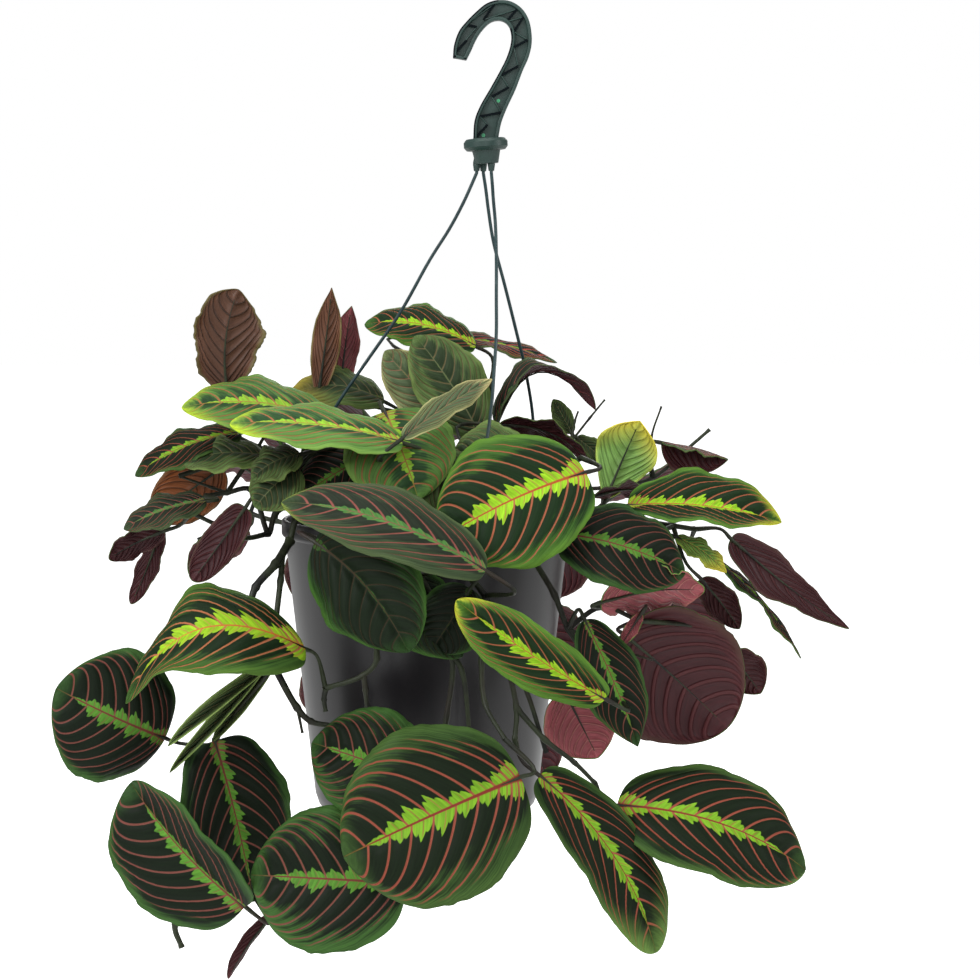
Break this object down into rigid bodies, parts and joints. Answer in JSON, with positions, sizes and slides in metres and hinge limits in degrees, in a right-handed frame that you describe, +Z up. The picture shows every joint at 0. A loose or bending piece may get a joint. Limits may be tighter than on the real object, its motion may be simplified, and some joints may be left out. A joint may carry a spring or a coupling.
{
  "type": "potted prayer plant in a hanging pot",
  "caption": "Red-veined prayer plant with patterned oval leaves trailing over a tapered plastic hanging pot with hook and strands.",
  "frame": {"origin": "top of the inside of the hook's bend, where a rail carries it", "axes": "+Z up, -Y to the front as pictured, +X to the right"},
  "size_m": [0.4594, 0.3184, 0.5683],
  "materials": {
    "pot_plastic": "dark grey moulded plastic with a soft sheen",
    "hanger_plastic": "dark green moulded plastic",
    "soil": "crumbly damp potting soil",
    "leaf": "satin living leaf, dark green with a yellow-green band and red veins, maroon below"
  },
  "bodies": {
    "root": {"hook": "hanger_plastic", "pot": "pot_plastic", "shoot_back": "leaf", "shoot_back_far_left": "leaf", "shoot_back_left": "leaf", "shoot_back_right": "leaf", "shoot_back_up": "leaf", "shoot_bright": "leaf", "shoot_centre": "leaf", "shoot_front_left": "leaf", "shoot_front_mid": "leaf", "shoot_front_right": "leaf", "shoot_left": "leaf", "shoot_left_low": "leaf", "shoot_right": "leaf", "shoot_right_low": "leaf", "shoot_right_up": "leaf", "shoot_top": "leaf", "shoot_top_left": "leaf", "soil": "soil", "strand_back": "hanger_plastic", "strand_front": "hanger_plastic", "strand_left": "hanger_plastic"}
  },
  "joints": []
}
